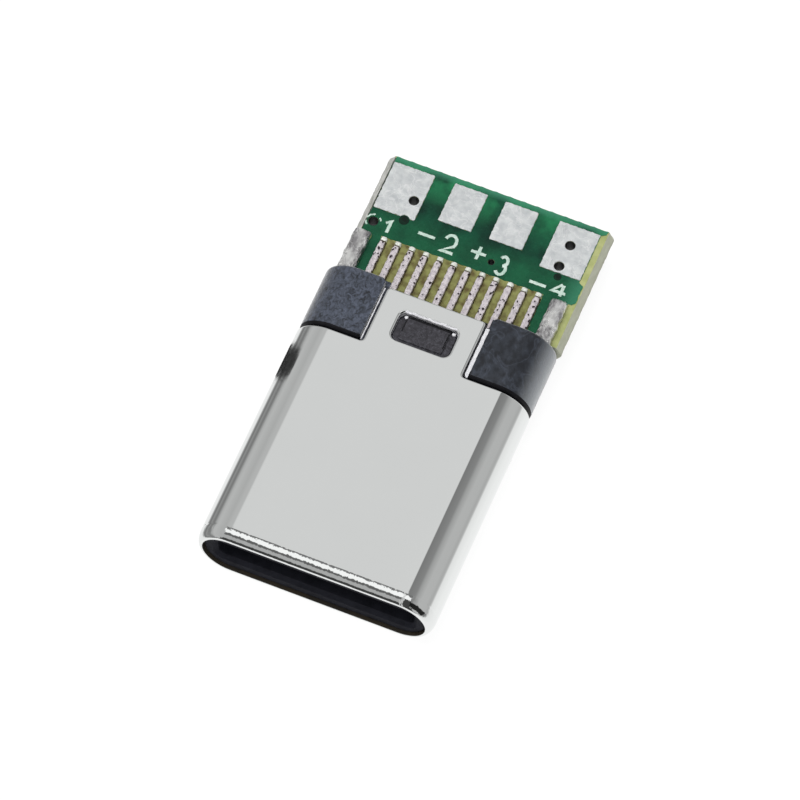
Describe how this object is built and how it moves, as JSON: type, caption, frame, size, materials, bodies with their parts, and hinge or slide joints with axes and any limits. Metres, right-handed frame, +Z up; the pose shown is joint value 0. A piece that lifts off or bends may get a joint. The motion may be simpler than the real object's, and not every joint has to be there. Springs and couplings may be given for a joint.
{
  "type": "usb-c plug",
  "caption": "Reversible cable plug: stadium-section steel shell, moulded housing with side ears, contact rows straddling a small green board with wire pads.",
  "frame": {"origin": "on the shell's lower flat face, half way along the part, on the plug's centre line", "axes": "+X across the plug, +Y from the mouth to the rear of the board, +Z up out of the shell's upper flat face"},
  "size_m": [0.0083, 0.0156, 0.0024],
  "materials": {
    "shell_steel": "drawn stainless steel, polished bright",
    "spring_steel": "stamped spring steel, satin",
    "black_moulding": "moulded liquid crystal polymer, matt black",
    "slate_moulding": "moulded liquid crystal polymer, dark slate grey, fine texture",
    "amber_film": "thin polyimide film, amber",
    "board_laminate": "glass epoxy under green solder mask, satin",
    "contact_tin": "tin-plated copper alloy, dull bright",
    "solder_tin": "hot-levelled tin solder, bright, slightly uneven"
  },
  "bodies": {
    "root": {"circuit_board": "board_laminate", "contact_a01": "contact_tin", "contact_a02": "contact_tin", "contact_a03": "contact_tin", "contact_a04": "contact_tin", "contact_a05": "contact_tin", "contact_a06": "contact_tin", "contact_a07": "contact_tin", "contact_a08": "contact_tin", "contact_a09": "contact_tin", "contact_a10": "contact_tin", "contact_a11": "contact_tin", "contact_a12": "contact_tin", "contact_b01": "contact_tin", "contact_b02": "contact_tin", "contact_b03": "contact_tin", "contact_b04": "contact_tin", "contact_b05": "contact_tin", "contact_b06": "contact_tin", "contact_b07": "contact_tin", "contact_b08": "contact_tin", "contact_b09": "contact_tin", "contact_b10": "contact_tin", "contact_b11": "contact_tin", "contact_b12": "contact_tin", "front_housing": "black_moulding", "latch_plate": "spring_steel", "left_inner_wire_pad": "solder_tin", "left_leg_solder": "solder_tin", "left_outer_wire_pad": "solder_tin", "lower_carrier": "black_moulding", "lower_film": "amber_film", "lower_ground_spring": "spring_steel", "rear_housing": "slate_moulding", "right_inner_wire_pad": "solder_tin", "right_leg_solder": "solder_tin", "right_outer_wire_pad": "solder_tin", "shell": "shell_steel", "upper_carrier": "black_moulding", "upper_film": "amber_film", "upper_ground_spring": "spring_steel"}
  },
  "joints": []
}
